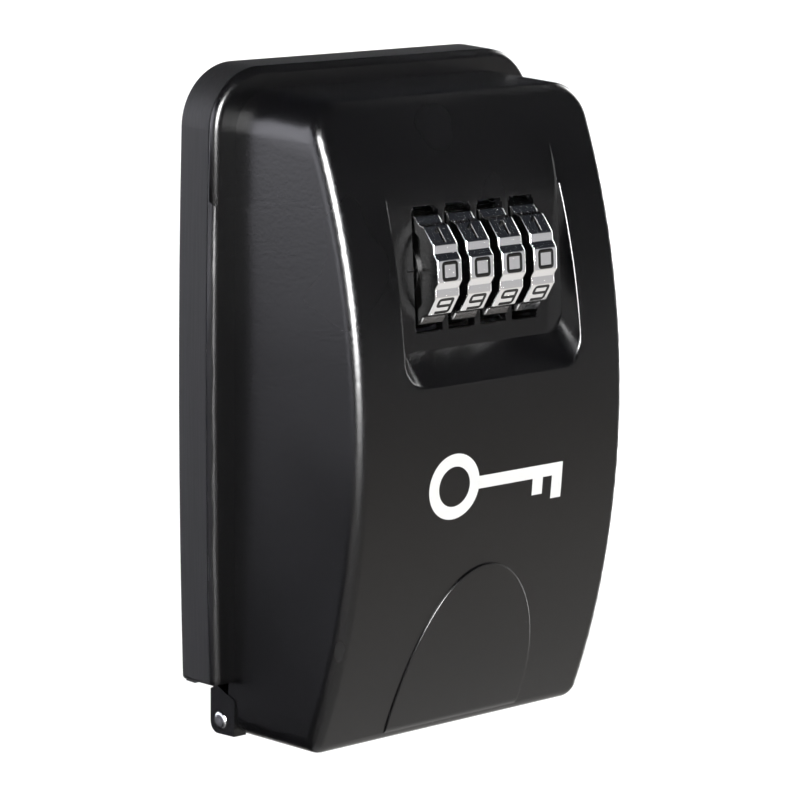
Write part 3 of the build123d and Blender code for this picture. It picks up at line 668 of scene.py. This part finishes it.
# what a reflection sees from straight down to straight up, by the sine of the height
HEIGHTS = [
    (-1.0, "ffffff"),
    (-0.45, "fffaf4"),
    (-0.2, "d8d2cc"),
    (-0.02, "d0d0d2"),
    (0.12, "707072"),
    (0.5, "303238"),
    (1.0, "26282c"),
]
share = add(room, "ShaderNodeMapRange", [("Value", height, "Z")], From_Min=-1.0)
ramp = add(room, "ShaderNodeValToRGB", [("Fac", share, "Result")])
while len(ramp.color_ramp.elements) < len(HEIGHTS):
    ramp.color_ramp.elements.new(0.5)
for stop, (sine, code) in zip(ramp.color_ramp.elements, HEIGHTS):
    stop.position = (sine + 1) / 2
    stop.color = colour(code)
print("heights in the room:", len(HEIGHTS))

# %% [markdown]
# ### Panels of light
# In a studio, lamps and black cards stand round a glossy thing, and each one is seen in a chosen
# surface. Here a panel is a soft-edged rectangle of the room, given by the direction in which it
# stands: its turn round Z from the box's front, and its rise above the horizon. A point of the
# room is inside when it is close to the panel's middle both across and upright.

# %% Helpers for panels
def maths(operation, *values):
    """A sum on one or two numbers, each a node's output or a constant."""
    made = add(room, "ShaderNodeMath", operation=operation)
    for socket, value in zip(made.inputs, values):
        if isinstance(value, float):
            socket.default_value = value
        else:
            room.links.new(socket, value)
    return made.outputs[0]


def along(direction):
    """How far the view goes along a direction, from -1 to 1."""
    made = add(room, "ShaderNodeVectorMath", [("Vector", around, "Generated")], operation="DOT_PRODUCT")
    made.inputs[1].default_value = direction
    return made.outputs["Value"]


def panel(behind, turn, rise, half_wide, half_high, code, strength, soft=0.25):
    """Adds a soft-edged rectangle of light to what reflections see. Sizes are in degrees."""
    turn, rise = radians(turn), radians(rise)
    out = Vector((sin(turn) * cos(rise), -cos(turn) * cos(rise), sin(rise)))
    right = Vector((cos(turn), sin(turn), 0))
    up = out.cross(right) * -1
    across = maths("ABSOLUTE", along(right / sin(radians(half_wide))))
    upright = maths("ABSOLUTE", along(up / sin(radians(half_high))))
    ahead = maths("GREATER_THAN", along(out), 0.0)
    edge = add(
        room,
        "ShaderNodeMapRange",
        From_Min=1.0 + soft,
        From_Max=1.0 - soft,
        interpolation_type="SMOOTHSTEP",
    )
    room.links.new(edge.inputs["Value"], maths("MAXIMUM", across, upright))
    shown = maths("MULTIPLY", edge.outputs["Result"], ahead)
    mixed = add(room, "ShaderNodeMix", data_type="RGBA", clamp_result=False)
    room.links.new(mixed.inputs["Factor"], shown)
    room.links.new(mixed.inputs["A"], behind)
    mixed.inputs["B"].default_value = [level * strength for level in colour(code)[:3]] + [1.0]
    return mixed.outputs["Result"]


# %% [markdown]
# ### The panels that stand round the box
# The left wall sees behind the box: a black card keeps its foot dark, and a pale card above it
# gives the soft glow that fades down the wall. A dark card high behind on the right keeps the
# top dark. A tall lamp on the right is caught by the front's right edge. A small strong one, from
# where the camera is, runs as a crisp line down the rounded left edge and the recess's right lip.

# %% Panels
seen = ramp.outputs["Color"]
seen = panel(seen, 222, -42, half_wide=46, half_high=35, code="1c1c20", strength=0.6, soft=0.08)
seen = panel(seen, 222, 9, half_wide=44, half_high=15, code="f0f0fa", strength=6.0)
seen = panel(seen, 138, 30, half_wide=40, half_high=26, code="1a1c22", strength=0.8)
seen = panel(seen, 99, 4, half_wide=15, half_high=25, code="ffffff", strength=14.0)
seen = panel(seen, -43, 17, half_wide=13, half_high=17, code="ffffff", strength=110.0, soft=0.12)

# %% Light and reflections
ROOM_LIGHT = 1.15
path = add(room, "ShaderNodeLightPath")
lit = add(room, "ShaderNodeMix", [("Factor", path, "Is Glossy Ray")], data_type="RGBA", clamp_result=False)
lit.inputs["A"].default_value = (ROOM_LIGHT, ROOM_LIGHT, ROOM_LIGHT, 1.0)
room.links.new(lit.inputs["B"], seen)
room.links.new(room.nodes["Background"].inputs["Color"], lit.outputs["Result"])
print("room nodes:", len(room.nodes))
